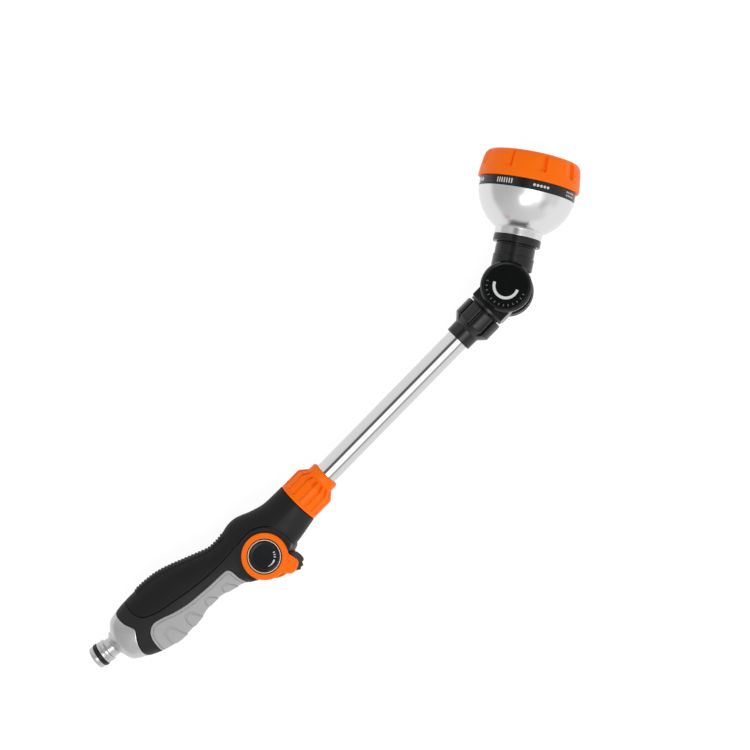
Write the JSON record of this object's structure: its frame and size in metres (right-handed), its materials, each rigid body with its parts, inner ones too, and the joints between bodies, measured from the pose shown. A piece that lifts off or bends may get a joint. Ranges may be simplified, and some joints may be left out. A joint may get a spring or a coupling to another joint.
{
  "type": "garden watering wand",
  "caption": "Hand-held watering wand: soft-grip handle with a thumb valve, a chromed tube, a swivelling head and a turning pattern dial on a bell-shaped sprayer.",
  "frame": {"origin": "centre of the hose tail's open end, on the water inlet's axis", "axes": "+X runs along the tube from the hose tail to the spray head, +Z is across the wand and up as it lies on its side, along the axes of the valve lever and the swivel, and +Y is towards the back of the handle"},
  "size_m": [0.4709, 0.1079, 0.0696],
  "materials": {
    "silver_plastic": "satin metallic",
    "black_plastic": "fine satin",
    "soft_grip": "matt soft-touch",
    "grey_inlay": "satin",
    "orange_plastic": "satin gloss",
    "lever_black": "satin",
    "gloss_black": "gloss",
    "white_plastic": "satin",
    "inner_plastic": "satin",
    "nozzle_grey": "satin",
    "seal_rubber": "satin",
    "chrome_tube": "mirror",
    "bell_metal": "satin lacquered",
    "steel": "bright"
  },
  "bodies": {
    "handle": {"tail_shell": "silver_plastic", "hose_tail": "silver_plastic", "tail_oring": "seal_rubber", "inlet_seal": "seal_rubber", "inlet_pipe": "inner_plastic", "handle_shell_left": "black_plastic", "handle_shell_right": "black_plastic", "shell_screws": "steel", "grip_back": "soft_grip", "finger_inlay": "grey_inlay", "valve_body": "inner_plastic", "outlet_elbow": "inner_plastic", "tube_socket": "inner_plastic", "socket_orings": "seal_rubber", "tube_collet": "white_plastic", "wand_tube": "chrome_tube", "upper_collet": "white_plastic", "knuckle_oring": "seal_rubber", "lower_knuckle": "black_plastic", "swivel_orings": "seal_rubber"},
    "lever": {"lever_ring_left": "orange_plastic", "lever_ring_right": "orange_plastic", "thumb_bar": "lever_black", "valve_spool": "white_plastic", "spool_orings": "seal_rubber", "lever_screws": "steel", "trim_ring_left": "white_plastic", "trim_ring_right": "white_plastic", "lever_cap_left": "gloss_black", "lever_cap_right": "gloss_black"},
    "collar": {"collar_nut": "orange_plastic"},
    "joint_nut": {"upper_nut": "black_plastic"},
    "head": {"upper_knuckle": "black_plastic", "swivel_bolt": "steel", "swivel_nut": "steel", "swivel_cap_left": "gloss_black", "swivel_cap_right": "gloss_black", "neck_collar": "black_plastic", "neck_oring": "seal_rubber", "bell": "bell_metal", "bell_insert": "inner_plastic", "port_seal": "seal_rubber", "face_oring": "seal_rubber", "detent_ball": "steel", "detent_spring": "steel", "dial_screw": "steel"},
    "dial": {"label_ring": "gloss_black", "dial_ring": "orange_plastic", "distributor": "inner_plastic", "spray_plate": "gloss_black", "jet_nozzle": "orange_plastic", "mist_nozzles": "nozzle_grey", "cone_nozzle": "nozzle_grey"}
  },
  "joints": [
    {"name": "flow_lever", "type": "hinge", "parent": "handle", "child": "lever", "pos_m": [0.1351, -0.0358, 0], "axis": [0, 0, 1], "range_deg": [-72, 0]},
    {"name": "collar_nut_turn", "type": "hinge", "parent": "handle", "child": "collar", "pos_m": [0.188, -0.0245, 0], "axis": [1, 0, 0], "range_deg": [0, 180]},
    {"name": "upper_nut_turn", "type": "hinge", "parent": "handle", "child": "joint_nut", "pos_m": [0.3425, -0.0245, 0], "axis": [-1, 0, 0], "range_deg": [0, 180]},
    {"name": "head_swivel", "type": "hinge", "parent": "handle", "child": "head", "pos_m": [0.3773, -0.0245, 0], "axis": [0, 0, 1], "range_deg": [-123, 57]},
    {"name": "pattern_dial", "type": "hinge", "parent": "head", "child": "dial", "pos_m": [0.3773, -0.0245, 0], "axis": [0.8387, 0.5446, 0], "continuous": true}
  ]
}
